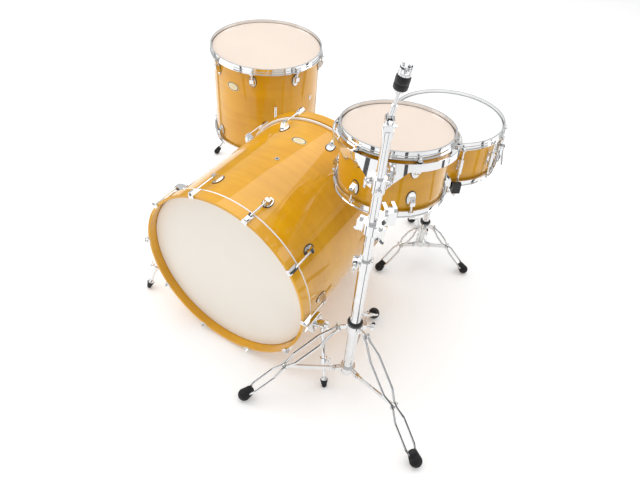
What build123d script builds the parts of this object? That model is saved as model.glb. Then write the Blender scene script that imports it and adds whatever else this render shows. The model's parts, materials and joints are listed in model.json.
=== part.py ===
from build123d import *
import os
from dataclasses import dataclass
from math import asin, atan2, cos, degrees, hypot, radians, sin, sqrt

# An acoustic drum kit: bass drum, floor tom, rack tom on a double-braced stand and a snare drum on
# its own folding stand. Millimetres, +Z up, the bass drum's front (resonant) head faces -Y.
# The kit is laid out about the middle of the bass drum, and every part is moved at the end so that
# the origin lies on the floor under the centre of the kit's bounding box.
CENTRE_X = 18.74  # from the bass drum's axis to the kit's centre
CENTRE_Y = 197.55  # from the bass drum's middle to the kit's centre

INCH = 25.4
UP = (Align.CENTER, Align.CENTER, Align.MIN)
CROSSWISE = Rot(0, 90, 0)  # turns a piece's Z to point outward along X

# ------------------------------------------------------------------ shells and heads
BASS_R = 22 * INCH / 2
BASS_DEPTH = 20 * INCH
FLOOR_R = 16 * INCH / 2
FLOOR_DEPTH = 14 * INCH
RACK_R = 12 * INCH / 2
RACK_DEPTH = 7 * INCH
SNARE_R = 14 * INCH / 2
SNARE_DEPTH = 5.5 * INCH
SHELL_WALL = 7.0
FILM = 0.5
VENT_R = 3.0

# ------------------------------------------------------------------ layout of the kit
BASS_LIFT = 8.0  # how much higher the front hoop sits than the batter hoop
FLOOR_TOP = (-426.0, 554.0, 608.0)
RACK_TOP = (317.0, 115.0, 764.0)
RACK_NORMAL = (-0.067, 0.100, 1.0)
SNARE_TOP = (337.0, 514.0, 604.0)
SNARE_NORMAL = (-0.054, 0.035, 1.0)
RIM_HEIGHT = 10.5  # a metal hoop's rim above its head

# ------------------------------------------------------------------ hoops, lugs, rods
WOOD_HOOP_GAP = 2.6  # between the bass shell and its hoop
WOOD_HOOP_WALL = 9.0
WOOD_HOOP_FRONT = 27.0  # how far the hoop stands in front of the head
WOOD_HOOP_BACK = -9.0
HOOP_ROUND = 1.6
ROD_R = 3.0
ROD_HOLE_R = 3.1
BASS_REACH = 18.0  # rod axis outside the bass shell
HOOP_REACH = 12.6  # rod axis outside a metal-hooped shell
BASS_LUGS = [36.0 * k for k in range(10)]
FLOOR_LUGS = [-24.0 + 45 * k for k in range(8)]
RACK_LUGS = [-105.0 + 60 * k for k in range(6)]
SNARE_LUGS = [-52.5 + 36 * k for k in range(10)]
BASS_LUG_DROP = 84.0
FLOOR_LUG_DROP = 46.0
RACK_LUG_DROP = 47.0


# ================================================================== small helpers
def turned(points):
    """The solid that a closed outline of (radius, height) points sweeps about Z."""
    return revolve(Plane.XZ * make_face(Polyline(*points, close=True)), Axis.Z)


def ring(r_in, r_out, low, high):
    """A plain ring about Z."""
    return turned([(r_in, low), (r_out, low), (r_out, high), (r_in, high)])


def post(r, low, high):
    """A round bar on Z."""
    return Pos(0, 0, low) * Cylinder(r, high - low, align=UP)


def bar(start, end, r):
    """A straight round bar from one point to another."""
    run = Vector(*end) - Vector(*start)
    return Plane(origin=start, z_dir=run) * Cylinder(r, run.length, align=UP)


def bent_bar(points, r, bend):
    """A round bar along straight runs joined by arcs."""
    path = FilletPolyline(*points, radius=bend)
    return sweep(Plane(origin=path @ 0, z_dir=path % 0) * Circle(r), path=path)


def prism(points, half):
    """An outline in XZ, made solid to the same depth on both sides of it."""
    return extrude(Plane.XZ * make_face(Polyline(*points, close=True)), half, both=True)


def around(piece, angles):
    """Copies of a piece turned about Z."""
    return [Rot(0, 0, a) * piece for a in angles]


def both_ends(piece, half, angles):
    """Copies at both ends of a drum, for a piece drawn from the plane of the shell's edge."""
    top = Pos(0, 0, half) * piece
    return around(top, angles) + around(Rot(180, 0, 0) * top, angles)


def wing_nut(size=1.0):
    """A wing nut about Z with its seat at z = 0."""
    nut = Cone(6.5 * size, 4.6 * size, 9 * size, align=UP)
    for side in (-1, 1):
        wing = extrude(Ellipse(6.2 * size, 4.4 * size), 1.5 * size, both=True)
        nut += Pos(side * 8.5 * size, 0, 8.5 * size) * Rot(90, 0, 0) * wing
    return nut


def bolt_head(washer, high):
    """A square key-rod head on a round washer, seated at z = 0."""
    return Cylinder(washer, 1.4, align=UP) + Box(1.2 * washer, 1.2 * washer, high, align=UP)


# ================================================================== drum pieces
def shell(r, depth, vents=()):
    """A ply shell with 45-degree bearing edges; vents are (angle, height) of its air holes."""
    half, inner = depth / 2, r - SHELL_WALL
    edge = [(inner + 3.5, half), (r - 1.5, half), (r, half - 1.5)]
    foot = [(r, 1.5 - half), (r - 1.5, -half), (inner + 3.5, -half)]
    body = turned([(inner, half - 3.5)] + edge + foot + [(inner, 3.5 - half)])
    for angle, z in vents:
        body -= Rot(0, 0, angle) * Pos(r, 0, z) * CROSSWISE * Cylinder(VENT_R + 1.6, 40)
    return body


def head(r, skirt, flesh):
    """A drum head: film, collar and the flesh hoop that its edge is set in, from the shell's edge."""
    collar = r + 0.7
    out = collar + flesh
    return turned(
        [(0, 0), (collar, 0), (collar, -skirt), (out, -skirt), (out, -skirt + 5),
         (collar + FILM, -skirt + 5), (collar + FILM, FILM), (0, FILM)]
    )


def wood_hoop():
    """The bass drum's maple hoop, drawn from the plane of the shell's edge."""
    low, high = WOOD_HOOP_BACK, WOOD_HOOP_FRONT
    inner = BASS_R + WOOD_HOOP_GAP
    hoop = ring(inner, inner + WOOD_HOOP_WALL, low, high)
    return fillet(hoop.edges().filter_by(GeomType.CIRCLE), HOOP_ROUND)


def metal_hoop(r, lugs):
    """A triple-flanged hoop with an ear and a hole at each rod."""
    wall = turned(
        [(r + 3.2, -4.2), (r + 3.2, RIM_HEIGHT), (r + 8.2, RIM_HEIGHT), (r + 8.2, 8.6),
         (r + 5.2, 8.6), (r + 5.2, -2.4), (r + 7.4, -2.4), (r + 7.4, -10.6), (r + 11.5, -10.6),
         (r + 11.5, -12.4), (r + 5.4, -12.4), (r + 5.4, -4.2)]
    )
    ear = Pos(r + HOOP_REACH, 0, -12.4) * Cylinder(7.5, 1.8, align=UP)
    hole = Pos(r + HOOP_REACH, 0, -14) * Cylinder(ROD_R + 0.3, 6, align=UP)
    keep_out = ring(r + 1, r + 5.4, -14, -4.2)
    return wall + around(ear, lugs) - keep_out - around(hole, lugs)


def lug(r, reach, drop, long=16.0):
    """A lug: an oval foot on the shell and a curved nib that the tension rod screws into."""
    tip = r + reach + 5.0
    foot = Pos(r - 4, 0, -drop) * CROSSWISE * extrude(Ellipse(21, 12.5), 7.2)
    nib = make_face(
        [ThreePointArc((r - 4, -drop - 15), (r + 0.62 * reach, -drop - 9), (tip, -drop + 5)),
         Line((tip, -drop + 5), (tip, -drop + long)),
         Line((tip, -drop + long), (r - 4, -drop + long)),
         Line((r - 4, -drop + long), (r - 4, -drop - 15))]
    )
    body = foot + extrude(Plane.XZ * nib, 7.2, both=True)
    body -= Pos(0, 0, -drop) * Cylinder(r + 0.05, 120)
    return body - Pos(r + reach, 0, -drop - 3) * Cylinder(ROD_HOLE_R, 40, align=UP)


def rod(r, drop):
    """A tension rod for a metal hoop, from its head on the ear down into the lug."""
    seat = -10.55
    shank = post(ROD_R, -drop + 1, seat)
    return Pos(r + HOOP_REACH, 0, 0) * (shank + Pos(0, 0, seat) * bolt_head(5.1, 10))


def oval(r, angle, z, wide=54.0, high=34.0, thick=1.3):
    """A domed-over oval badge that follows the shell."""
    plate = Rot(0, 0, angle) * Pos(r - 10, 0, z) * CROSSWISE * extrude(Ellipse(high / 2, wide / 2), 14)
    return plate & ring(r + 0.05, r + 0.05 + thick, z - high, z + high)


def vent(r, angle, z):
    """A flanged air-hole grommet."""
    flange = Pos(r, 0, z) * CROSSWISE * post(7.5, -1, 1.8) - Cylinder(r + 0.05, 600)
    sleeve = Pos(r, 0, z) * CROSSWISE * post(VENT_R + 1.5, -SHELL_WALL, 0.5)
    hole = Pos(r, 0, z) * CROSSWISE * Cylinder(VENT_R, 40)
    return Rot(0, 0, angle) * (flange + sleeve - hole)


# ================================================================== bass drum
BASS_HALF = BASS_DEPTH / 2
BASS_HOOP_R = BASS_R + WOOD_HOOP_GAP + WOOD_HOOP_WALL
TILT = asin(BASS_LIFT / (BASS_DEPTH + 2 * WOOD_HOOP_FRONT))
# The batter hoop's rounded edge just touches the floor.
BASS_Z = (
    (BASS_HOOP_R - HOOP_ROUND) * cos(TILT)
    + (BASS_HALF + WOOD_HOOP_FRONT - HOOP_ROUND) * sin(TILT)
    + HOOP_ROUND
)
BASS_AT = Plane(origin=(0, 0, BASS_Z), x_dir=(1, 0, 0), z_dir=(0, -cos(TILT), sin(TILT))).location
BADGE_BACK = -121.0  # bass badge, behind the drum's middle
BASS_VENT = (90.0, 0.0)


def claw():
    """A claw hook over the bass hoop, tapering back along its rod."""
    hoop_out = BASS_HOOP_R + 0.3
    front = WOOD_HOOP_FRONT + 0.2
    tip = BASS_R + BASS_REACH + 6.2
    side = prism(
        [(hoop_out, -7), (hoop_out + 3.2, -7), (tip, 13), (tip, front + 3.2),
         (hoop_out - 7.5, front + 3.2), (hoop_out - 7.5, front), (hoop_out, front)], 9
    )
    plan = Polyline((hoop_out - 9, -9), (hoop_out + 4, -9), (tip + 0.1, -4.4), (tip + 0.1, 4.4),
                    (hoop_out + 4, 9), (hoop_out - 9, 9), close=True)
    body = side & Pos(0, 0, -20) * extrude(make_face(plan), 60)
    rod_x = BASS_R + BASS_REACH
    body -= Pos(rod_x, 0, 0) * Cylinder(ROD_R + 0.3, 80)
    return body - Pos(rod_x, 0, front - 2) * Cylinder(5.0, 20, align=UP)


def claw_rod():
    """The bass drum's tension rod, its square head sunk in the claw."""
    seat = WOOD_HOOP_FRONT - 1.7
    head_part = post(4.6, seat, seat + 5.5) + Pos(0, 0, seat + 5.5) * Box(5.6, 5.6, 4, align=UP)
    return Pos(BASS_R + BASS_REACH, 0, 0) * (post(ROD_R, -BASS_LUG_DROP + 1, seat) + head_part)


# Spurs: each swings about a pivot on its bracket, and its rod telescopes out of a tube.
SPUR_TOP = (310.4, -196, 216.5)  # on the spur's own centre line, beside its pivot
SPUR_FOOT = (367, -253, 8)
SPUR_OFFSET = 8.4  # from the bracket's face to the spur's centre line
SPUR_TUBE_R = 8.0
SPUR_BORE_R = 6.0
SPUR_ROD_R = 5.7
SPUR_TUBE_LONG = 138.0


def spur_frame(side):
    """Pivot, foot, spur direction and outward pivot axis on one side (+1 right, -1 left)."""
    top = Vector(side * SPUR_TOP[0], SPUR_TOP[1], SPUR_TOP[2])
    foot = Vector(side * SPUR_FOOT[0], SPUR_FOOT[1], SPUR_FOOT[2])
    along = (foot - top).normalized()
    outward = along.cross(Vector(0, 1, 0)).normalized() * side
    return top - outward * SPUR_OFFSET, foot, along, outward


def spur_bracket(side):
    """A cast foot on the bass shell with a round boss, its pivot bolt and wing nut."""
    pivot, _, along, outward = spur_frame(side)
    at = Plane(origin=pivot, x_dir=along, z_dir=outward)
    boss = at * post(13, -16, -0.3)
    foot = Plane(origin=pivot - outward * 22, x_dir=Vector(0, 1, 0), z_dir=outward)
    body = boss + foot * Box(52, 40, 22)
    body = fillet(body.edges().filter_by(Axis.Y), 3) - BASS_AT * Cylinder(BASS_R + 0.05, 700)
    bolt = at * (post(3.5, -6, 19) + Pos(0, 0, 17) * wing_nut(1.15))
    return body + bolt


def spur_tube(side):
    """The spur's outer tube with its flat pivot head and the rod clamp at its end."""
    pivot, _, along, outward = spur_frame(side)
    knuckle = Plane(origin=pivot, x_dir=along, z_dir=outward) * (post(13, 0.1, 16.5) - Cylinder(3.6, 60))
    at = Plane(origin=pivot + outward * SPUR_OFFSET, x_dir=outward, z_dir=along)
    tube = post(SPUR_TUBE_R, 11, SPUR_TUBE_LONG) + post(11, SPUR_TUBE_LONG - 20, SPUR_TUBE_LONG)
    bolt = post(2.8, 0, 10) + Pos(0, 0, 5) * wing_nut(0.95)
    clamp = Pos(9, 0, SPUR_TUBE_LONG - 10) * CROSSWISE * bolt
    return knuckle + at * (tube + clamp - post(SPUR_BORE_R, 18, SPUR_TUBE_LONG + 30))


def spur_rod(side):
    """The telescopic rod, its chrome cup and the rubber tip, which meets the floor."""
    pivot, foot, along, outward = spur_frame(side)
    start = pivot + outward * SPUR_OFFSET
    reach = (foot - start).length
    at = Plane(origin=start, z_dir=along)
    steel = at * (post(SPUR_ROD_R, 70, reach - 10) + Pos(0, 0, reach - 32) * Cone(6.5, 11, 7, align=UP))
    tip = Plane(origin=foot, z_dir=along) * Pos(0, 0, -24.9) * Cone(12.5, 9, 17, align=UP)
    tip = tip + Pos(*foot) * Sphere(9.5) - Pos(0, 0, -50) * Box(2000, 2000, 100)
    return steel, tip - steel


# ================================================================== floor tom legs
LEG_R = 5.0
LEG_OUT = FLOOR_R + 26.0  # leg axis from the tom's axis
LEG_TOP = 466.0
LEG_BRACKET_Z = 322.0
# Each leg's place round the shell and the way its bent foot points.
FLOOR_LEGS = {"front": (-46.5, -46.5), "left": (178.5, 222.0), "back": (88.5, 88.5)}
LEG_KICK = 44.0


def floor_leg(place, bend):
    """A bent steel leg and its rubber foot, which meets the floor."""
    x = FLOOR_TOP[0] + LEG_OUT * cos(radians(place))
    y = FLOOR_TOP[1] + LEG_OUT * sin(radians(place))
    kx, ky = LEG_KICK * cos(radians(bend)), LEG_KICK * sin(radians(bend))
    foot = Vector(x + kx, y + ky, 12.0)
    steel = bent_bar([(x, y, LEG_TOP), (x, y, 78), tuple(foot)], LEG_R, 30)
    steel = steel + Pos(x, y, LEG_TOP) * Sphere(LEG_R)
    along = (foot - Vector(x, y, 78)).normalized()
    at = Plane(origin=foot, z_dir=along)
    rubber = at * Pos(0, 0, -26) * Cone(8.5, 12.5, 26, align=UP) + Pos(*foot) * Sphere(12.5)
    rubber -= Pos(0, 0, -50) * Box(3000, 3000, 100)
    return steel, rubber - steel


def leg_bracket(place):
    """A cast leg holder on the floor tom's shell, with its wing bolt."""
    block = Pos(FLOOR_R + 18, 0, LEG_BRACKET_Z) * Box(36, 26, 44)
    block = fillet(block.edges().filter_by(Axis.Z), 6)
    plate = Pos(FLOOR_R + 1.4, 0, LEG_BRACKET_Z) * Box(9, 44, 62)
    body = fillet(plate.edges().filter_by(Axis.X), 10) + block
    body -= Pos(LEG_OUT, 0, 0) * Cylinder(LEG_R + 0.05, 2000)
    body -= Cylinder(FLOOR_R + 0.05, 2000)
    bolt = Pos(FLOOR_R + 35, 0, LEG_BRACKET_Z) * CROSSWISE * (post(3, 0, 8) + Pos(0, 0, 3) * wing_nut(1.1))
    return Rot(0, 0, place) * (body + bolt)


# ================================================================== folding tripods
PIN_R = 3.0


@dataclass
class Tripod:
    """A double-braced folding base. Angles are degrees; the leg's outline lies in XZ, X outward."""

    x: float
    y: float
    yaw: float
    tube_r: float
    tube_low: float
    tube_top: float
    tube_wall: float
    hinge_r: float
    hinge_z: float
    foot_at: float
    foot_r: float
    pivot_share: float
    brace_r: float
    brace_z: float
    folded: float
    bar_r: float
    spread: float

    def __post_init__(self):
        self.foot_z = self.foot_r - 0.6
        self.leg_long = hypot(self.foot_at - self.hinge_r, self.hinge_z - self.foot_z)
        self.open = degrees(atan2(self.foot_at - self.hinge_r, self.hinge_z - self.foot_z))
        self.upper = self.pivot_share * self.leg_long
        mid_x = self.hinge_r + self.upper * sin(radians(self.open))
        mid_z = self.hinge_z - self.upper * cos(radians(self.open))
        self.brace_long = hypot(mid_x - self.brace_r, mid_z - self.brace_z)
        self.brace_open = degrees(atan2(mid_z - self.brace_z, mid_x - self.brace_r))
        # Folded: the collar has slid up until the legs hang almost along the tube.
        far_x = self.hinge_r + self.upper * sin(radians(self.folded))
        rise = sqrt(self.brace_long**2 - (far_x - self.brace_r) ** 2)
        self.travel = self.brace_z + rise + self.upper * cos(radians(self.folded)) - self.hinge_z
        self.leg_swing = self.open - self.folded
        self.brace_swing = degrees(atan2(rise, far_x - self.brace_r)) - self.brace_open

    def angles(self):
        return [self.yaw + 120 * k for k in range(3)]

    def place(self, angle=0.0):
        return Pos(self.x, self.y, 0) * Rot(0, 0, angle)


STAND = Tripod(
    x=422, y=-221, yaw=220.4, tube_r=15.9, tube_low=92, tube_top=558, tube_wall=2.9,
    hinge_r=46, hinge_z=318, foot_at=314, foot_r=20, pivot_share=0.55, brace_r=42, brace_z=118,
    folded=7, bar_r=4.0, spread=17,
)
SNARE_STAND = Tripod(
    x=362, y=471, yaw=242.7, tube_r=12.7, tube_low=48, tube_top=292, tube_wall=2.6,
    hinge_r=36, hinge_z=156, foot_at=188, foot_r=17, pivot_share=0.44, brace_r=34, brace_z=66,
    folded=9, bar_r=3.6, spread=14,
)


def tripod_leg(t):
    """Two bent bars that meet at the hinge, the brace pivot and the rubber foot."""
    along = Vector(sin(radians(t.open)), 0, -cos(radians(t.open)))
    top = Vector(t.hinge_r, 0, t.hinge_z)
    near, wide = t.bar_r + 3.0, t.spread
    share = t.pivot_share
    outline = [(-0.01, near), (0.06, near), (0.18, wide), (share - 0.11, wide), (share - 0.025, near),
               (share + 0.025, near), (share + 0.12, wide), (0.88, wide), (0.985, near + 1)]
    steel = None
    for side in (-1, 1):
        points = [tuple(top + along * (t.leg_long * s) + Vector(0, side * y, 0)) for s, y in outline]
        one = bent_bar(points, t.bar_r, 0.05 * t.leg_long)
        steel = one if steel is None else steel + one
    steel += bar(top - Vector(0, near + 5, 0), top + Vector(0, near + 5, 0), PIN_R)
    # The brace's pivot is open: a stub on each bar, and the brace runs between them.
    knee = top + along * (t.leg_long * share)
    for side in (-1, 1):
        steel += bar(knee + Vector(0, side * 2.8, 0), knee + Vector(0, side * (near + 5), 0), PIN_R)
    foot = top + along * t.leg_long
    at = Plane(origin=foot, z_dir=along)
    rubber = Pos(*foot) * Sphere(t.foot_r) + at * Pos(0, 0, -1.5 * t.foot_r) * Cone(
        0.72 * t.foot_r, t.foot_r * 0.98, 1.5 * t.foot_r, align=UP
    )
    rubber -= Pos(0, 0, -50) * Box(2000, 2000, 100)
    return steel, rubber - steel


def tripod_brace(t):
    """A flat brace from the lower collar to the leg's pivot, where it stays clear of the leg."""
    tilt = radians(t.brace_open)
    outline = Pos(t.brace_long / 2, 0) * SlotCenterToCenter(t.brace_long, 14)
    outline -= Circle(PIN_R + 0.05)
    outline -= Pos(t.brace_long, 0) * Circle(PIN_R)
    at = Plane(origin=(t.brace_r, 0, t.brace_z), x_dir=(cos(tilt), 0, sin(tilt)), z_dir=(0, -1, 0))
    return extrude(at * outline, 2.5, both=True)


def tripod_tube(t):
    """The base tube with the fixed lower collar, its ears and the braces' pins."""
    collar = post(t.tube_r + 6, t.brace_z - 12, t.brace_z + 10)
    for angle in t.angles():
        for side in (-1, 1):
            ear = Pos(t.brace_r / 2 + 3, side * 4.4, t.brace_z) * Box(t.brace_r + 6, 3.2, 15)
            collar += Rot(0, 0, angle) * ear
        collar += Rot(0, 0, angle) * bar((t.brace_r, -8, t.brace_z), (t.brace_r, 8, t.brace_z), PIN_R)
    body = post(t.tube_r, t.tube_low, t.tube_top) + collar
    body -= post(t.tube_r - t.tube_wall, t.tube_low + 4, t.tube_top + 1)
    return t.place() * body


def leg_collar(t, bolt_angle):
    """The sliding collar that the legs hang from, with its nylon ring and wing bolt."""
    bore = t.tube_r + 0.3
    body = post(t.tube_r + 8, t.hinge_z - 12, t.hinge_z + 14)
    for angle in t.angles():
        ear = Pos(t.hinge_r / 2 + 3.5, 0, t.hinge_z) * Box(t.hinge_r + 7, 5, 15)
        body += Rot(0, 0, angle) * ear
        body -= Rot(0, 0, angle) * bar((t.hinge_r, -9, t.hinge_z), (t.hinge_r, 9, t.hinge_z), PIN_R + 0.05)
    lug_part = Pos(t.tube_r + 9, 0, t.hinge_z + 3) * Box(16, 15, 20)
    bolt = post(3.2, 0, 16) + Pos(0, 0, 9) * wing_nut(1.2)
    bolt = Pos(t.tube_r + 16, 0, t.hinge_z + 3) * CROSSWISE * bolt
    body += Rot(0, 0, bolt_angle) * (lug_part + bolt)
    body -= Cylinder(bore, 3000)
    nylon = ring(bore, t.tube_r + 5.5, t.hinge_z + 14.05, t.hinge_z + 20)
    return [t.place() * body, t.place() * nylon]


def tube_clamp(bore, high, angle, size=1.0):
    """A split clamp about Z with its bolt and wing nut at one side; its middle is at z = 0."""
    body = Cylinder(bore + 6.0, high) + Pos(bore + 9, 0, 0) * Box(20, 18, 0.8 * high)
    body -= Pos(bore + 14, 0, 0) * Box(20, 2.4, high + 2)
    bolt = bar((bore + 12, -14, 0), (bore + 12, 14, 0), 3.2)
    nut = Plane(origin=(bore + 12, 9, 0), z_dir=(0, 1, 0)) * (post(3, 0, 8) + Pos(0, 0, 3) * wing_nut(size))
    return Rot(0, 0, angle) * (body + bolt + nut - Cylinder(bore, 3 * high))


# ================================================================== stand above its base
MIDDLE_R, MIDDLE_WALL = 12.7, 2.0
UPPER_R = 10.2
MIDDLE_LOW, MIDDLE_TOP = 380.0, 806.0
UPPER_LOW, UPPER_TOP = 600.0, 962.0
BASE_CLAMP_Z = 568.0
MIDDLE_CLAMP_Z = 820.0
TOM_CLAMP_Z = 694.0
CAMERA_SIDE = 27.8  # the way the wing bolts point


def stand_base_tube():
    clamp = Pos(0, 0, BASE_CLAMP_Z) * tube_clamp(MIDDLE_R + 0.3, 34, 200, 1.1)
    return tripod_tube(STAND) + STAND.place() * clamp


def middle_tube():
    body = ring(MIDDLE_R - MIDDLE_WALL, MIDDLE_R, MIDDLE_LOW, MIDDLE_TOP + 4)
    clamp = Pos(0, 0, MIDDLE_CLAMP_Z) * tube_clamp(UPPER_R + 0.3, 40, 160, 1.0)
    knob = Pos(0, 0, MIDDLE_CLAMP_Z - 8) * Rot(0, 0, -62) * CROSSWISE * post(7.5, 0, 26)
    body = body + clamp + knob - post(UPPER_R + 0.3, MIDDLE_TOP - 3, 900)
    return STAND.place() * body


# The cymbal post leans a little on its ratchet.
TILT_Z = 986.0
TILT_AXIS = Vector(sin(radians(CAMERA_SIDE)), -cos(radians(CAMERA_SIDE)), 0)
LEAN = 7.0
POST_R = 3.9
FELT_LOW, FELT_HIGH = 70.0, 108.0
CROWN_HIGH = 121.0


def upper_tube():
    """The top tube with the two cheeks of the cymbal ratchet."""
    body = post(UPPER_R, UPPER_LOW, UPPER_TOP) + post(UPPER_R + 2.2, UPPER_TOP - 16, UPPER_TOP)
    for side in (-1, 1):
        at = Plane(origin=TILT_AXIS * (side * 7.8) + Vector(0, 0, TILT_Z), z_dir=TILT_AXIS)
        body += at * Cylinder(11, 5)
        body += Plane(at.origin - Vector(0, 0, 12), x_dir=TILT_AXIS, z_dir=(0, 0, 1)) * Box(5, 20, 26)
    body += Plane(origin=Vector(0, 0, TILT_Z), z_dir=TILT_AXIS) * (
        Cylinder(3, 34) + Pos(0, 0, 14) * wing_nut(1.0)
    )
    body -= post(UPPER_R - 1.6, UPPER_LOW - 1, UPPER_TOP - 20)
    return STAND.place() * body


def post_frame():
    """The leaning frame of the cymbal post, from the ratchet's pivot up."""
    lean = radians(LEAN)
    side = Vector(cos(radians(CAMERA_SIDE)), sin(radians(CAMERA_SIDE)), 0)
    up = side * sin(lean) + Vector(0, 0, cos(lean))
    return Plane(origin=(STAND.x, STAND.y, TILT_Z), x_dir=TILT_AXIS, z_dir=up)


def cymbal_post():
    knuckle = Rot(0, 90, 0) * (Cylinder(10.5, 10) - Cylinder(3.06, 20))
    stem = post(4.6, 9, 14) + post(6.5, 12.5, 34) + post(POST_R, 30, CROWN_HIGH - 8)
    seat = post(9, FELT_LOW - 7, FELT_LOW - 0.1)
    return post_frame() * (knuckle + stem + seat)


def cymbal_felt():
    sleeve = ring(POST_R + 0.3, 15.5, FELT_LOW, FELT_HIGH)
    return post_frame() * fillet(sleeve.edges().filter_by(GeomType.CIRCLE).group_by(SortBy.RADIUS)[-1], 2)


def crown_nut():
    """A threaded cap with upright prongs, screwed on the post."""
    low = FELT_HIGH + 0.3
    body = ring(POST_R + 0.3, 11.5, low, low + 9)
    for k in range(4):
        prong = Pos(9.2, 0, low + 8) * Box(4.2, 6.5, CROWN_HIGH + 6 - low - 8, align=UP)
        body += Rot(0, 0, 45 + 90 * k) * prong
    return post_frame() * body


# ================================================================== rack tom and its mount
def drum_frame(top, normal, depth, rim):
    """The frame at the middle of a drum whose top rim is centred at a point."""
    n = Vector(*normal).normalized()
    middle = Vector(*top) - n * (rim + depth / 2)
    return Plane(origin=middle, x_dir=Vector(1, 0, 0) - n * n.X, z_dir=n).location


RACK_AT = drum_frame(RACK_TOP, RACK_NORMAL, RACK_DEPTH, RIM_HEIGHT)
FLOOR_AT = drum_frame(FLOOR_TOP, (0, 0, 1), FLOOR_DEPTH, RIM_HEIGHT)
SNARE_AT = drum_frame(SNARE_TOP, SNARE_NORMAL, SNARE_DEPTH, RIM_HEIGHT)

BAND_R = RACK_R + 22.0
BAND_LOW, BAND_HIGH = -38.0, -15.0
BAND_THICK = 2.4
MOUNT_ANGLE = -77.0
ARM_OUT = RACK_R + 40.0  # the tom arm's upright rod, from the tom's axis
ARM_R = 5.2
MOUNT_LOW, MOUNT_HIGH = -92.0, -44.0


def suspension_ring():
    """The band that the tom hangs in by its tension rods, with its plate and rod receiver."""
    half = RACK_DEPTH / 2
    band = ring(BAND_R, BAND_R + BAND_THICK, BAND_LOW, BAND_HIGH)
    tab = Pos(BAND_R - 6.8, 0, BAND_HIGH - 2.2) * Box(18, 20, 2.2, align=UP)
    hole = Pos(RACK_R + HOOP_REACH, 0, BAND_HIGH) * Cylinder(6.2, 12)
    band = band + around(tab, RACK_LUGS) - around(hole, RACK_LUGS)
    slot = Pos(BAND_R, 0, (BAND_LOW + BAND_HIGH) / 2) * Box(20, 4, 12)
    band -= around(slot, [a + 30 for a in RACK_LUGS[1:]])
    half_outline = [(74, BAND_LOW + 6), (26, MOUNT_LOW + 10), (20, MOUNT_LOW)]
    other_half = [(-y, z) for y, z in reversed(half_outline)]
    outline = make_face(Polyline(*half_outline, *other_half, close=True))
    wedge = extrude(Plane(origin=(BAND_R - 30, 0, 0), x_dir=(0, 1, 0), z_dir=(1, 0, 0)) * outline, 60)
    plate = wedge & ring(BAND_R, BAND_R + BAND_THICK, MOUNT_LOW, BAND_HIGH)
    block = Pos(ARM_OUT - 1, 0, (MOUNT_LOW + MOUNT_HIGH) / 2) * Box(31, 30, MOUNT_HIGH - MOUNT_LOW)
    block = fillet(block.edges().filter_by(Axis.Z), 5)
    for side in (-1, 1):
        block -= Pos(ARM_OUT + 14, side * 9, (MOUNT_LOW + MOUNT_HIGH) / 2) * Box(6, 3, 34)
    receiver = plate + block - Pos(ARM_OUT, 0, 0) * Cylinder(ARM_R + 0.05, 400)
    receiver += Pos(ARM_OUT + 4, 14, -60) * Rot(-90, 0, 0) * (post(3, 0, 12) + Pos(0, 0, 5) * wing_nut(1.1))
    receiver -= Pos(ARM_OUT, 0, 0) * Cylinder(ARM_R + 0.05, 400)
    body = band + Rot(0, 0, MOUNT_ANGLE) * receiver
    grommet = Pos(RACK_R + HOOP_REACH, 0, 0) * ring(ROD_R + 0.1, 6.1, BAND_HIGH - 3.2, BAND_HIGH + 0.4)
    grommets = around(grommet, RACK_LUGS)
    return [RACK_AT * Pos(0, 0, half) * piece for piece in [body] + grommets]


def rack_point(out, z):
    """A point of the tom mount in the kit's frame, from the plane of the rack tom's top edge."""
    return (RACK_AT * Pos(0, 0, RACK_DEPTH / 2) * Rot(0, 0, MOUNT_ANGLE) * Pos(out, 0, z)).position


KNUCKLE = Vector(431, -152, 690)  # where the tom arm tilts
ELBOW = rack_point(ARM_OUT, -128)
ARM_RUN = Vector(ELBOW.X - KNUCKLE.X, ELBOW.Y - KNUCKLE.Y, 0).normalized()
ARM_AXIS = ARM_RUN.cross(Vector(0, 0, 1))  # the tilt pivot, level and square to the arm


def tom_arm():
    """The bent rod that carries the rack tom, with its round ratchet head."""
    top = rack_point(ARM_OUT, -30)
    first = KNUCKLE + (ELBOW - KNUCKLE).normalized() * 14
    at = Plane(origin=KNUCKLE, z_dir=ARM_AXIS)
    return at * Cylinder(17, 13) + bent_bar([first, ELBOW, top], ARM_R, 24) - at * Cylinder(4.06, 60)


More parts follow.
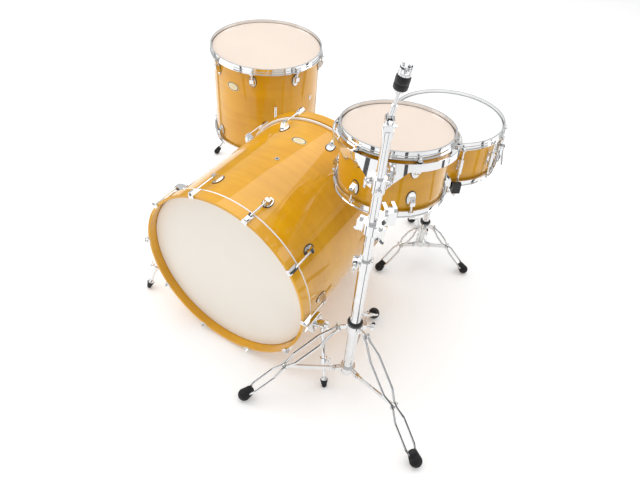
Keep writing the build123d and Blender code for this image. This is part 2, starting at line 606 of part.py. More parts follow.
def tom_clamp():
    """The clamp on the stand's middle tube, its neck and the two cheeks of the arm's ratchet."""
    heading = degrees(atan2(KNUCKLE.Y - STAND.y, KNUCKLE.X - STAND.x))
    body = Cylinder(MIDDLE_R + 8.5, 30) + Rot(0, 0, heading) * Pos(MIDDLE_R + 22, 0, 0) * Box(36, 26, 22)
    bolt = Pos(0, 0, 12) * bolt_head(6.7, 8) + Pos(0, 0, -12) * Rot(180, 0, 0) * wing_nut(1.15)
    jaw = Pos(MIDDLE_R + 13, 0, 0) * Box(18, 24, 26) + Pos(MIDDLE_R + 15, 0, 0) * bolt
    for side in (-1, 1):
        body += Rot(0, 0, heading + side * 100) * jaw
    body = Pos(STAND.x, STAND.y, TOM_CLAMP_Z) * body
    at = Plane(origin=KNUCKLE, x_dir=(0, 0, 1), z_dir=ARM_AXIS)
    cheek = fillet(Box(56, 38, 9).edges().filter_by(Axis.Z), 8)
    for side in (-1, 1):
        body += at * Pos(0, 0, side * 11.2) * cheek
    body += Plane(origin=KNUCKLE - ARM_RUN * 18.5, x_dir=ARM_RUN, z_dir=(0, 0, 1)) * Box(7, 30, 40)
    body -= at * Cylinder(17.6, 13.6)
    body -= bent_bar([KNUCKLE, ELBOW, rack_point(ARM_OUT, -60)], ARM_R + 0.8, 24)
    body -= STAND.place() * Cylinder(MIDDLE_R + 0.3, 3000)
    nut = Rot(180, 0, 0) * Pos(0, 0, 15.6) * wing_nut(1.2)
    return body + at * (Cylinder(4.0, 40) + Pos(0, 0, 15.6) * bolt_head(6.5, 5) + nut)


# ================================================================== snare drum and its basket
STRAINER_ANGLE = 1.5
SNARE_HALF = SNARE_DEPTH / 2
LEVER_PIVOT = Vector(SNARE_R + 19.5, 0, 20)


def snare_lug():
    """A double-ended bridge lug, which both rods of its pair screw into."""
    column = Pos(SNARE_R + HOOP_REACH, 0, 0) * post(7.0, -27, 27)
    column = fillet(column.edges().filter_by(GeomType.CIRCLE), 2.5)
    body = column
    for z in (-14, 14):
        body += Pos(SNARE_R + 4, 0, z) * CROSSWISE * Cylinder(6.5, 14)
    foot = Pos(SNARE_R - 4, 0, 0) * CROSSWISE * extrude(SlotCenterToCenter(30, 17), 6.6)
    body = body + foot - Cylinder(SNARE_R + 0.05, 200)
    return body - Pos(SNARE_R + HOOP_REACH, 0, 0) * Cylinder(ROD_HOLE_R, 120)


def snare_strainer():
    """The throw-off housing and, opposite it, the butt plate that holds the wires' far end."""
    body = Pos(SNARE_R + 6, 0, 2) * Box(14, 30, 62)
    body = fillet(body.edges().filter_by(Axis.X), 4)
    body += Pos(SNARE_R + 14, 0, -20) * Box(9, 20, 22)
    for side in (-1, 1):
        body += Pos(SNARE_R + 17, side * 9.5, 20) * Box(16, 5, 14)
    knob = Pos(SNARE_R + 11, 0, 33) * (post(2.5, -3, 6) + post(6, 4, 15))
    body = body + knob + bar((LEVER_PIVOT.X, -13, 20), (LEVER_PIVOT.X, 13, 20), 2.5)
    body -= Cylinder(SNARE_R + 0.05, 300)
    butt = Pos(SNARE_R + 6, 0, -12) * Box(13, 34, 40)
    butt = fillet(butt.edges().filter_by(Axis.X), 4) - Cylinder(SNARE_R + 0.05, 300)
    turn = Rot(0, 0, STRAINER_ANGLE)
    return [SNARE_AT * turn * body, SNARE_AT * turn * Rot(0, 0, 180) * butt]


def throw_lever():
    """The hinged lever of the throw-off, hanging down along its housing."""
    outline = [(-3.5, 0), (3.5, 2), (6, -28), (12.5, -62), (8.5, -63.5), (1.5, -31)]
    arm = prism(outline, 6) + Rot(90, 0, 0) * Cylinder(5.5, 12) - Rot(90, 0, 0) * Cylinder(2.56, 60)
    return SNARE_AT * Rot(0, 0, STRAINER_ANGLE) * Pos(*LEVER_PIVOT) * arm


def snare_wires():
    """Twenty coiled wires, drawn as round bars, between two end plates under the bottom head."""
    z = -SNARE_HALF - FILM - 1.2
    wires = [Pos(0, -19 + 2 * k, z) * CROSSWISE * Cylinder(0.7, 300) for k in range(20)]
    plates = [Pos(side * 156.2, 0, z) * Box(12, 42, 1.6) for side in (-1, 1)]
    return [SNARE_AT * Rot(0, 0, STRAINER_ANGLE) * piece for piece in wires + plates]


BASKET_ANGLES = [-54.0 + 120 * k for k in range(3)]
HUB_DROP = 62.0  # basket hub below the bottom hoop
SNARE_TUBE_R = 9.4
SNARE_KNUCKLE = Vector(362, 471, 352)
HUB = (SNARE_AT * Pos(0, 0, -SNARE_HALF - RIM_HEIGHT - HUB_DROP)).position
BASKET_RUN = Vector(HUB.X - SNARE_KNUCKLE.X, HUB.Y - SNARE_KNUCKLE.Y, 0).normalized()
BASKET_AXIS = BASKET_RUN.cross(Vector(0, 0, 1))


def basket():
    """Three cranked arms on a hub, each with a rubber tip under and outside the bottom hoop."""
    rest = -SNARE_HALF - RIM_HEIGHT - 0.3
    tip_in, tip_out = SNARE_R - 4, SNARE_R + 35
    low = rest - 9
    hub_z = -SNARE_HALF - RIM_HEIGHT - HUB_DROP
    steel, tips = post(15, hub_z - 10, hub_z + 10), []
    for angle in BASKET_ANGLES:
        bend = SNARE_R + 27
        knee = [(8, 0, hub_z), (SNARE_R - 30, 0, hub_z + 16), (bend, 0, low - 12), (bend, 0, low + 26)]
        arm = bent_bar(knee, 4.6, 14)
        steel += Rot(0, 0, angle) * arm
        block = Pos((tip_in + tip_out) / 2, 0, low) * Box(tip_out - tip_in, 26, 8.6, align=UP)
        block += Pos(SNARE_R + 28, 0, low) * Box(14, 26, 38, align=UP)
        block = fillet(block.edges().filter_by(Axis.Y), 2)
        tips.append(Rot(0, 0, angle) * (block - arm))
    knuckle = Plane(origin=SNARE_KNUCKLE, z_dir=BASKET_AXIS) * Cylinder(13, 11)
    link = bar(SNARE_KNUCKLE, HUB, 5.2)
    steel = SNARE_AT * steel + knuckle + link
    steel -= Plane(origin=SNARE_KNUCKLE, z_dir=BASKET_AXIS) * Cylinder(3.06, 60)
    return [steel] + [SNARE_AT * tip for tip in tips]


def snare_upper_tube():
    """The height tube and the cheeks that the basket tilts between."""
    body = SNARE_STAND.place() * (post(SNARE_TUBE_R, 120, 334) - post(SNARE_TUBE_R - 1.6, 119, 320))
    for side in (-1, 1):
        at = Plane(origin=SNARE_KNUCKLE + BASKET_AXIS * (side * 8.2), x_dir=(0, 0, 1), z_dir=BASKET_AXIS)
        body += at * (Cylinder(13, 5) + Pos(-14, 0, 0) * Box(26, 20, 5))
    at = Plane(origin=SNARE_KNUCKLE, z_dir=BASKET_AXIS)
    return body + at * (Cylinder(3, 34) + Pos(0, 0, 13) * wing_nut(1.1))


def snare_base_tube():
    clamp = Pos(0, 0, 292) * tube_clamp(SNARE_TUBE_R + 0.3, 26, 60, 1.0)
    return tripod_tube(SNARE_STAND) + SNARE_STAND.place() * clamp


# ================================================================== every node, by name
def drum_pieces(at, r, depth, lugs, drop, name):
    """The shell, hoops, heads, lugs and rods that every metal-hooped drum has."""
    half = depth / 2
    batter = Pos(0, 0, half) * metal_hoop(r, lugs)
    bottom = Rot(180, 0, 0) * Pos(0, 0, half) * metal_hoop(r, [-a for a in lugs])
    pieces = {
        "_hoops": [batter, bottom],
        "_heads": both_ends(head(r, 9.2, 4.4), half, [0]),
        "_lugs": both_ends(lug(r, HOOP_REACH, drop), half, lugs),
        "_tension_rods": both_ends(rod(r, drop), half, lugs),
    }
    return {name + end: placed(at, group) for end, group in pieces.items()}


def placed(at, pieces):
    """Pieces drawn in a drum's own frame, put in their place in the kit."""
    return [at * piece for piece in pieces]


nodes = {}

nodes["bass_shell"] = placed(BASS_AT, [shell(BASS_R, BASS_DEPTH, [BASS_VENT])])
nodes["bass_hoops"] = placed(BASS_AT, both_ends(wood_hoop(), BASS_HALF, [0]))
nodes["bass_heads"] = placed(BASS_AT, both_ends(head(BASS_R, 17, 7.4), BASS_HALF, [0]))
nodes["bass_claws"] = placed(BASS_AT, both_ends(claw(), BASS_HALF, BASS_LUGS))
nodes["bass_tension_rods"] = placed(BASS_AT, both_ends(claw_rod(), BASS_HALF, BASS_LUGS))
nodes["bass_lugs"] = placed(BASS_AT, both_ends(lug(BASS_R, BASS_REACH, BASS_LUG_DROP), BASS_HALF, BASS_LUGS))

FLOOR_VENT = (0.0, 30.0)
FLOOR_BADGE = (-92.0, FLOOR_DEPTH / 2 + RIM_HEIGHT - 96)
nodes["floor_shell"] = [FLOOR_AT * shell(FLOOR_R, FLOOR_DEPTH, [FLOOR_VENT])]
nodes.update(drum_pieces(FLOOR_AT, FLOOR_R, FLOOR_DEPTH, FLOOR_LUGS, FLOOR_LUG_DROP, "floor"))
nodes["shell_badges"] = [
    BASS_AT * oval(BASS_R, 90, BADGE_BACK, 54, 34),
    FLOOR_AT * oval(FLOOR_R, *FLOOR_BADGE),
    BASS_AT * vent(BASS_R, *BASS_VENT),
    FLOOR_AT * vent(FLOOR_R, *FLOOR_VENT),
]
nodes["leg_brackets"] = [spur_bracket(1), spur_bracket(-1)] + [
    Pos(FLOOR_TOP[0], FLOOR_TOP[1], 0) * leg_bracket(place) for place, _ in FLOOR_LEGS.values()
]
for side, word in ((1, "right"), (-1, "left")):
    nodes["spur_tube_" + word] = [spur_tube(side)]
    nodes["spur_rod_" + word] = list(spur_rod(side))
for word, (place, bend) in FLOOR_LEGS.items():
    nodes["floor_leg_" + word] = list(floor_leg(place, bend))

for t, name, bolt in ((STAND, "stand", CAMERA_SIDE), (SNARE_STAND, "snare_stand", SNARE_STAND.yaw + 60)):
    nodes[name + "_leg_collar"] = leg_collar(t, bolt)
    for k, angle in enumerate(t.angles()):
        letter = "abc"[k]
        nodes[f"{name}_leg_{letter}"] = [t.place(angle) * piece for piece in tripod_leg(t)]
        nodes[f"{name}_brace_{letter}"] = [t.place(angle) * tripod_brace(t)]
nodes["stand_base_tube"] = [stand_base_tube()]
nodes["stand_middle_tube"] = [middle_tube()]
nodes["stand_upper_tube"] = [upper_tube()]
nodes["cymbal_post"] = [cymbal_post()]
nodes["cymbal_felt"] = [cymbal_felt()]
nodes["cymbal_crown"] = [crown_nut()]
nodes["tom_clamp"] = [tom_clamp()]
nodes["tom_arm"] = [tom_arm()]

RACK_BADGE = (-127.0, RACK_DEPTH / 2 + RIM_HEIGHT - 66)
nodes["rack_shell"] = [RACK_AT * shell(RACK_R, RACK_DEPTH)]
nodes.update(drum_pieces(RACK_AT, RACK_R, RACK_DEPTH, RACK_LUGS, RACK_LUG_DROP, "rack"))
nodes["rack_suspension_ring"] = suspension_ring()
nodes["rack_badge"] = [RACK_AT * oval(RACK_R, *RACK_BADGE, 50, 32)]

nodes["snare_shell"] = [SNARE_AT * shell(SNARE_R, SNARE_DEPTH)]
nodes.update(drum_pieces(SNARE_AT, SNARE_R, SNARE_DEPTH, SNARE_LUGS, SNARE_HALF - 8, "snare"))
nodes["snare_lugs"] = placed(SNARE_AT, around(snare_lug(), SNARE_LUGS))
nodes["snare_strainer"] = snare_strainer()
nodes["snare_throw_lever"] = [throw_lever()]
nodes["snare_wires"] = snare_wires()
nodes["snare_stand_base_tube"] = [snare_base_tube()]
nodes["snare_stand_upper_tube"] = [snare_upper_tube()]
nodes["snare_basket"] = basket()

os.makedirs("parts", exist_ok=True)
to_centre = Pos(-CENTRE_X, -CENTRE_Y, 0)
for name, pieces in nodes.items():
    solids = [solid for piece in pieces for solid in (to_centre * piece).solids()]
    export_step(Compound(children=solids, label=name), f"parts/{name}.step")
print(len(nodes), "nodes")
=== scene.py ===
import json
from math import cos, pi, radians, sin

import bmesh
import bpy
from bpy.props import FloatProperty, FloatVectorProperty, IntProperty, PointerProperty
from mathutils import Matrix, Vector


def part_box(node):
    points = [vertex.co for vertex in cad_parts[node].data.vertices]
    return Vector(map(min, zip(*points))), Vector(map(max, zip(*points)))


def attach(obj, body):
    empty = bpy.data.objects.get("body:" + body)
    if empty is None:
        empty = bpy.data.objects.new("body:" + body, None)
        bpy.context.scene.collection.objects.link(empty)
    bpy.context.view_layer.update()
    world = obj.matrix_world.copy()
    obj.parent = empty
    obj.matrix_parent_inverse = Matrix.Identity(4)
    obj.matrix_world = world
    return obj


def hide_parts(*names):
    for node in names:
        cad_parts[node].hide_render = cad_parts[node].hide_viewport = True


bl_info = {
    "name": "Drum kit finishes",
    "version": (1, 0, 0),
    "blender": (4, 5, 0),
    "location": "3D View > Sidebar > Drum kit",
    "description": "Heads, gaskets, feet, felts, badges and finishes around a drum kit's frame",
    "category": "Add Mesh",
}

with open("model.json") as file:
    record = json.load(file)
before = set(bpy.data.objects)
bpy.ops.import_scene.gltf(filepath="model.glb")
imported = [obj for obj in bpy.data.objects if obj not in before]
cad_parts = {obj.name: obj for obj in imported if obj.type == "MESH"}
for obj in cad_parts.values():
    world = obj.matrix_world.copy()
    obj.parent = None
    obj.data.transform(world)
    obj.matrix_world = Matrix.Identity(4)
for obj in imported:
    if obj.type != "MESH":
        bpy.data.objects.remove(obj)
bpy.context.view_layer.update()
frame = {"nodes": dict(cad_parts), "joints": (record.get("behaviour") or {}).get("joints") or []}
NODES = frame["nodes"]
JOINTS = {joint["name"]: joint for joint in frame["joints"]}
MM = 0.001

# Shell radius and depth of each drum, and the angle and spacing of its lugs.
BASS_R, BASS_DEPTH = 279.4 * MM, 508.0 * MM
FLOOR_R, FLOOR_DEPTH = 203.2 * MM, 355.6 * MM
RACK_R, RACK_DEPTH = 152.4 * MM, 177.8 * MM
SNARE_R, SNARE_DEPTH = 177.8 * MM, 139.7 * MM
LUG_DROP = {"bass": 84.0 * MM, "floor": 46.0 * MM, "rack": 47.0 * MM}
LUG_FIRST = {"bass": (0.0, 36.0), "floor": (-24.0, 45.0), "rack": (-105.0, 60.0)}
BASS_TILT = radians(0.816)
BADGES = {"bass": (90.0, -121.0), "floor": (-92.0, 92.3), "rack": (-127.0, 33.4)}


# ================================================================== places
def upright(centre, normal):
    """A frame at a centre whose Z is a normal and whose X stays nearest to the row's X."""
    z = Vector(normal).normalized()
    x = (Vector((1, 0, 0)) - z * z.x).normalized()
    turn = Matrix((x, z.cross(x), z)).transposed()
    return Matrix.Translation(centre) @ turn.to_4x4()


def middle(node):
    """The centre of a CAD node's box."""
    low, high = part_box(node)
    return (low + high) / 2


DRUMS = {
    "bass": upright(middle("bass_shell"), (0, -cos(BASS_TILT), sin(BASS_TILT))),
    "floor": upright(middle("floor_shell"), (0, 0, 1)),
    "rack": upright(middle("rack_shell"), JOINTS["rack_tom_height"]["axis"]),
    "snare": upright(middle("snare_shell"), JOINTS["snare_lift"]["axis"]),
}
RADIUS = {"bass": BASS_R, "floor": FLOOR_R, "rack": RACK_R, "snare": SNARE_R}
HALF = {"bass": BASS_DEPTH / 2, "floor": FLOOR_DEPTH / 2, "rack": RACK_DEPTH / 2, "snare": SNARE_DEPTH / 2}
RIDES = {"bass": "kit", "floor": "kit", "rack": "rack_tom", "snare": "snare"}
FLIP = Matrix.Rotation(pi, 4, "X")


def turned(angle):
    """A turn about Z in degrees."""
    return Matrix.Rotation(radians(angle), 4, "Z")


def aimed(origin, along):
    """A frame at an origin whose Z runs along a direction."""
    return Matrix.Translation(origin) @ Vector(along).to_track_quat("Z", "Y").to_matrix().to_4x4()


# ================================================================== shaders
class Value:
    """A number that a shader works out, for use in arithmetic."""

    def __init__(self, finish, socket):
        self.finish = finish
        self.socket = socket

    def math(self, operation, *others, **settings):
        inputs = {0: self, **{k + 1: other for k, other in enumerate(others)}}
        node = self.finish.add("Math", dict(operation=operation, **settings), inputs)
        return Value(self.finish, node.outputs[0])

    def __add__(self, other):
        return self.math("ADD", other)

    __radd__ = __add__

    def __mul__(self, other):
        return self.math("MULTIPLY", other)

    __rmul__ = __mul__

    def __sub__(self, other):
        return self.math("SUBTRACT", other)

    def __rsub__(self, other):
        return (self * -1.0) + other

    def __truediv__(self, other):
        return self.math("DIVIDE", other)

    def __pow__(self, other):
        return self.math("POWER", other)

    def __gt__(self, other):
        return self.math("GREATER_THAN", other)

    def smooth(self, low, high):
        """0 below low, 1 above high, with a soft step between."""
        settings = {"interpolation_type": "SMOOTHSTEP"}
        node = self.finish.add("MapRange", settings, {0: self, 1: low, 2: high, 3: 0.0, 4: 1.0})
        return Value(self.finish, node.outputs[0])


class Finish:
    """A procedural material on one Principled shader."""

    def __init__(self, name, slot, **sockets):
        self.slot = slot
        self.material = bpy.data.materials.new(name)
        self.material.use_nodes = True
        self.tree = self.material.node_tree
        self.shader = next(n for n in self.tree.nodes if n.type == "BSDF_PRINCIPLED")
        for socket, value in sockets.items():
            self.shader.inputs[socket.replace("_", " ")].default_value = value
        self.place = self.add("TexCoord", {}, {}).outputs["Object"]

    def add(self, kind, settings, inputs):
        """One node: its settings are made first, then its sockets are set or joined."""
        node = self.tree.nodes.new("ShaderNode" + kind)
        for key, value in settings.items():
            setattr(node, key, value)
        for key, value in inputs.items():
            if isinstance(value, Value):
                value = value.socket
            if isinstance(value, bpy.types.NodeSocket):
                self.tree.links.new(value, node.inputs[key])
            else:
                node.inputs[key].default_value = value
        return node

    def vector(self, operation, *inputs):
        return self.add("VectorMath", {"operation": operation}, dict(enumerate(inputs))).outputs[0]

    def along(self, direction, point=None):
        """How far a point of the surface lies along a direction."""
        settings, inputs = {"operation": "DOT_PRODUCT"}, {0: point or self.place, 1: tuple(direction)}
        return Value(self, self.add("VectorMath", settings, inputs).outputs["Value"])

    def distance(self, point):
        settings, inputs = {"operation": "DISTANCE"}, {0: self.place, 1: tuple(point)}
        return Value(self, self.add("VectorMath", settings, inputs).outputs["Value"])

    def noise(self, scale, detail=3.0, rough=0.5, place=None):
        inputs = {"Vector": place or self.place, "Scale": scale, "Detail": detail, "Roughness": rough}
        return Value(self, self.add("TexNoise", {}, inputs).outputs[0])

    def mix(self, amount, first, second):
        """A colour between two colours."""
        pick = [c if isinstance(c, bpy.types.NodeSocket) else (*c, 1.0) for c in (first, second)]
        node = self.add("Mix", {"data_type": "RGBA"}, {0: amount, 6: pick[0], 7: pick[1]})
        return node.outputs[2]

    def feed(self, **links):
        """Joins what changes over the surface to the shader."""
        for socket, value in links.items():
            source = value.socket if isinstance(value, Value) else value
            self.tree.links.new(source, self.shader.inputs[socket.replace("_", " ")])
        return self

    def bump(self, height, distance, strength=0.5):
        inputs = {"Height": height, "Distance": distance, "Strength": strength}
        self.feed(Normal=self.add("Bump", {}, inputs).outputs[0])
        return self


FINISHES = {}


def kept(maker):
    """Each finish is made once."""

    def get(*key):
        if (maker.__name__, *key) not in FINISHES:
            FINISHES[(maker.__name__, *key)] = maker(*key)
        return FINISHES[(maker.__name__, *key)]

    return get


@kept
def maple(drum):
    """Amber-lacquered maple whose grain runs round the shell, with a faint curl across it."""
    look = bpy.context.scene.kit_finishes
    lacquer = {"Coat_Weight": 1.0, "Coat_Roughness": 0.03, "Coat_IOR": 1.5}
    finish = Finish("maple_" + drum, "maple", Roughness=0.32, Specular_IOR_Level=0.15, **lacquer)
    axis = DRUMS[drum].to_3x3() @ Vector((0, 0, 1))
    axial = finish.along(axis)
    stretched = finish.vector("SCALE", tuple(axis))
    finish.tree.links.new((axial * 16.0).socket, stretched.node.inputs["Scale"])
    place = finish.vector("ADD", finish.place, stretched)
    grain = finish.noise(3.4, 7.0, 0.62, place)
    pores = finish.noise(21.0, 3.0, 0.6, place)
    curl = finish.noise(9.0, 2.0)
    cloud = finish.noise(2.2, 2.0)
    tone = grain.smooth(0.25, 0.78) * 0.34 + curl.smooth(0.35, 0.7) * 0.30 + cloud * 0.36
    wood = finish.mix(tone, look.maple_dark, look.maple_light)
    wood = finish.mix(pores.smooth(0.6, 0.8) * 0.16, wood, (0.36, 0.13, 0.006))
    finish.feed(Base_Color=wood, Roughness=0.28 + pores * 0.12)
    return finish.bump(grain + pores * 0.4, 0.00005, 0.08)


@kept
def chrome(name="chrome"):
    """Polished plate with faint handling smears and the slight waviness of plated castings."""
    tint = bpy.context.scene.kit_finishes.chrome_tint
    finish = Finish(name, "chrome", Metallic=1.0)
    smear = finish.noise(26.0, 5.0, 0.6)
    speck = finish.noise(420.0, 2.0)
    shade = finish.mix(smear.smooth(0.35, 0.75), tuple(c * 0.93 for c in tint), tint)
    finish.feed(Base_Color=shade, Roughness=0.025 + smear * 0.05 + speck.smooth(0.68, 0.8) * 0.05)
    return finish.bump(finish.noise(60.0, 2.0), 0.00006, 0.2)


def two_finishes(name, mask_of, dark=(0.012, 0.012, 0.013)):
    """Chrome with a black rubber or nylon part, which the mask picks out by its place."""
    finish = Finish(name, "chrome")
    mask = mask_of(finish)
    smear = finish.noise(26.0, 5.0, 0.6)
    tint = bpy.context.scene.kit_finishes.chrome_tint
    plate = finish.mix(smear.smooth(0.35, 0.75), tuple(c * 0.93 for c in tint), tint)
    black = finish.mix(finish.noise(190.0), dark, tuple(c * 2.2 for c in dark))
    colour = finish.mix(mask, plate, black)
    rough = (1 - mask) * (0.025 + smear * 0.05) + mask * (0.42 + smear * 0.2)
    finish.feed(Base_Color=colour, Metallic=1 - mask, Roughness=rough)
    return finish.bump(finish.noise(240.0) * mask, 0.0004, 0.3)


@kept
def nylon_ringed(node):
    """The sliding collar of a stand: its top ring is black nylon."""
    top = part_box(node)[1].z
    return two_finishes(node + "_finish", lambda f: f.along((0, 0, 1)) > top - 6.1 * MM)


@kept
def rubber_tipped():
    """The snare basket: everything above the arms' ends is moulded rubber."""
    axis = DRUMS["snare"].to_3x3() @ Vector((0, 0, 1))
    level = DRUMS["snare"].translation.dot(axis) - HALF["snare"] - 19.95 * MM
    return two_finishes("basket_finish", lambda f: f.along(axis) > level)


@kept
def grommeted():
    """The suspension band, with black rubber in the holes that the rods pass through."""
    axis = DRUMS["rack"].to_3x3() @ Vector((0, 0, 1))

    def mask(finish):
        centre = DRUMS["rack"].translation
        local = finish.add("VectorMath", {"operation": "SUBTRACT"}, {0: finish.place, 1: centre})
        axial = finish.along(axis, local.outputs[0])
        found = None
        first, step = LUG_FIRST["rack"]
        for k in range(6):
            hole = Vector((RACK_R + 12.6 * MM, 0, HALF["rack"] - 16 * MM))
            at = DRUMS["rack"] @ turned(first + step * k) @ hole
            near = (finish.distance(at) * -1.0) > -7.0 * MM
            found = near if found is None else found + near
        return found * (axial > HALF["rack"] - 30 * MM)

    return two_finishes("band_finish", mask)


@kept
def rubber():
    """Black moulded rubber with a dusty bloom."""
    finish = Finish("rubber_black", "chrome", Specular_IOR_Level=0.35)
    dust = finish.noise(38.0, 5.0, 0.65)
    colour = finish.mix(dust.smooth(0.45, 0.8), (0.008, 0.008, 0.009), (0.03, 0.03, 0.032))
    finish.feed(Base_Color=colour, Roughness=0.5 + dust * 0.25)
    return finish.bump(finish.noise(520.0), 0.0003, 0.35)


@kept
def film(kind):
    """A drum head's film: smooth cream, clear over the wood inside, or coated white."""
    look = bpy.context.scene.kit_finishes
    colour = {"cream": look.cream_film, "clear": look.clear_film, "coated": look.coated_film}[kind]
    slot = {"cream": "bass_head", "clear": "clear_head", "coated": "coated_head"}[kind]
    finish = Finish("head_" + kind, slot, IOR=1.5)
    cloud = finish.noise(5.0, 3.0)
    grit = finish.noise(900.0 if kind == "coated" else 300.0, 2.0)
    tint = finish.mix(cloud.smooth(0.3, 0.7), tuple(c * 0.965 for c in colour), colour)
    tint = finish.mix(grit.smooth(0.62, 0.75) * 0.10, tint, tuple(c * 0.85 for c in colour))
    rough = {"cream": 0.34, "clear": 0.16, "coated": 0.66}[kind]
    finish.feed(Base_Color=tint, Roughness=rough + cloud * 0.08)
    if kind == "clear":
        finish.shader.inputs["Alpha"].default_value = look.clear_cover
    return finish.bump(grit, 0.0003 if kind == "coated" else 0.00008, 0.4 if kind == "coated" else 0.1)


@kept
def flesh_ring(kind):
    """The ring that a head's film is set in: white moulded plastic or satin aluminium."""
    metal = kind == "metal"
    finish = Finish("flesh_ring_" + kind, "bass_head" if not metal else "clear_head", Metallic=float(metal))
    wear = finish.noise(70.0, 4.0)
    colour = (0.62, 0.62, 0.63) if metal else (0.95, 0.945, 0.92)
    finish.feed(
        Base_Color=finish.mix(wear, tuple(c * 0.9 for c in colour), colour),
        Roughness=(0.24 if metal else 0.4) + wear * 0.14,
    )
    return finish.bump(finish.noise(350.0), 0.0001, 0.3)


@kept
def felt():
    """Pressed black felt: short matted fibres with a few paler ones."""
    finish = Finish("felt_black", "felt", Sheen_Weight=0.35, Sheen_Roughness=0.5)
    place = finish.vector("MULTIPLY", finish.place, (1.0, 1.0, 1.7))
    fibre = finish.noise(620.0, 6.0, 0.75, place)
    mat = finish.noise(140.0, 4.0, 0.6)
    colour = finish.mix(fibre.smooth(0.5, 0.8), (0.008, 0.008, 0.009), (0.055, 0.053, 0.055))
    finish.feed(Base_Color=colour, Roughness=0.88 + mat * 0.1)
    return finish.bump(fibre + mat * 0.8, 0.0012, 0.8)


@kept
def wire():
    """Bright drawn steel wire."""
    finish = Finish("wire_steel", "steel_wire", Metallic=1.0)
    draw = finish.noise(300.0, 3.0)
    colour = finish.mix(draw, (0.58, 0.58, 0.6), (0.8, 0.8, 0.82))
    finish.feed(Base_Color=colour, Roughness=0.18 + draw * 0.12)
    return finish.bump(draw, 0.00005, 0.2)


@kept
def gasket():
    """The dark fibre pad under a lug."""
    finish = Finish("gasket_dark", "chrome")
    speck = finish.noise(480.0, 3.0)
    fibre = finish.mix(speck, (0.035, 0.02, 0.012), (0.09, 0.055, 0.035))
    finish.feed(Base_Color=fibre, Roughness=0.55 + speck * 0.2)
    return finish.bump(speck, 0.0002, 0.4)


@kept
def badge(wide, high):
    """A cream enamel oval in a dark line and a gold rim, with a plain ring of rays in its middle."""
    finish = Finish("badge_enamel", "badge", Coat_Weight=0.6, Coat_Roughness=0.08)
    across = finish.along((0, 1, 0)) / (wide / 2)
    up = finish.along((1, 0, 0)) / (high / 2)
    reach = (across * across + up * up).math("SQRT")
    rim = reach.smooth(0.86, 0.9)
    line = reach.smooth(0.76, 0.79) * (1 - rim)
    rays = (across.math("ARCTAN2", up) * 12.0).math("SINE").smooth(0.1, 0.5)
    star = rays * reach.smooth(0.22, 0.25) * (1 - reach.smooth(0.5, 0.53))
    ring = reach.smooth(0.1, 0.12) * (1 - reach.smooth(0.15, 0.17))
    gold = finish.mix(finish.noise(90.0), (0.62, 0.42, 0.16), (0.8, 0.6, 0.28))
    enamel = finish.mix(finish.noise(40.0), (0.74, 0.66, 0.44), (0.83, 0.77, 0.56))
    colour = finish.mix(rim + star + ring, enamel, gold)
    colour = finish.mix(line, colour, (0.03, 0.02, 0.012))
    metal = (rim + star + ring) * 0.9
    finish.feed(Base_Color=colour, Metallic=metal, Roughness=0.28 + finish.noise(160.0) * 0.15)
    return finish.bump(rim + star * 0.4 + ring * 0.4 - line * 0.3, 0.0003, 0.5)


# ================================================================== mesh tools
def finished(name, mesh, body, finish, at=Matrix.Identity(4), bevel=None, smooth=35):
    mesh.shade_smooth()
    mesh.set_sharp_from_angle(angle=radians(smooth))
    piece = bpy.data.objects.new(name, mesh)
    bpy.context.scene.collection.objects.link(piece)
    piece.matrix_world = at
    mesh.materials.append(finish.material)
    if bevel:
        edge = piece.modifiers.new("edges", "BEVEL")
        edge.width, edge.segments, edge.angle_limit = bevel, 2, radians(40)
    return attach(piece, body)


def lathe(form, outline, at=Matrix.Identity(4), segments=96):
    """Sweeps a closed (radius, height) outline round the Z of a frame; points on the axis are shared."""
    rings = []
    for r, z in outline:
        if r < 1e-7:
            rings.append([form.verts.new(at @ Vector((0, 0, z)))] * segments)
            continue
        turn = [2 * pi * k / segments for k in range(segments)]
        rings.append([form.verts.new(at @ Vector((r * cos(t), r * sin(t), z))) for t in turn])
    for low, high in zip(rings, rings[1:] + rings[:1]):
        for k in range(segments):
            n = (k + 1) % segments
            corners = []
            for corner in (low[k], low[n], high[n], high[k]):
                if corner not in corners:
                    corners.append(corner)
            if len(corners) > 2:
                form.faces.new(corners)


def made(form, name):
    """A bmesh turned into mesh data with its faces facing out."""
    bmesh.ops.remove_doubles(form, verts=form.verts, dist=1e-7)
    bmesh.ops.recalc_face_normals(form, faces=form.faces)
    mesh = bpy.data.meshes.new(name)
    form.to_mesh(mesh)
    form.free()
    return mesh


def rounded(points, radius, steps=3):
    """An outline with each corner cut back along a small arc."""
    out = []
    for k, point in enumerate(points):
        here = Vector(point)
        before, after = Vector(points[k - 1]), Vector(points[(k + 1) % len(points)])
        if here.x < 1e-7:
            out.append(tuple(here))
            continue
        cut = min(radius, (before - here).length * 0.45, (after - here).length * 0.45)
        start = here + (before - here).normalized() * cut
        end = here + (after - here).normalized() * cut
        for s in range(steps + 1):
            t = s / steps
            out.append(tuple(start * (1 - t) ** 2 + here * 2 * t * (1 - t) + end * t * t))
    return out


def rail(name, runs, radius, sides=8, order=3):
    """Round bars along smooth splines, as one mesh."""
    curve = bpy.data.curves.new(name, "CURVE")
    curve.dimensions = "3D"
    curve.bevel_depth, curve.bevel_resolution = radius, sides // 2
    curve.use_fill_caps = True
    curve.resolution_u = 10
    for points in runs:
        spline = curve.splines.new("NURBS")
        spline.points.add(len(points) - 1)
        for knot, point in zip(spline.points, points):
            knot.co = (*point, 1.0)
        spline.order_u = order
        spline.use_endpoint_u = True
    carrier = bpy.data.objects.new(name, curve)
    bpy.context.scene.collection.objects.link(carrier)
    bpy.context.view_layer.update()
    mesh = bpy.data.meshes.new_from_object(carrier.evaluated_get(bpy.context.evaluated_depsgraph_get()))
    bpy.data.objects.remove(carrier)
    return mesh


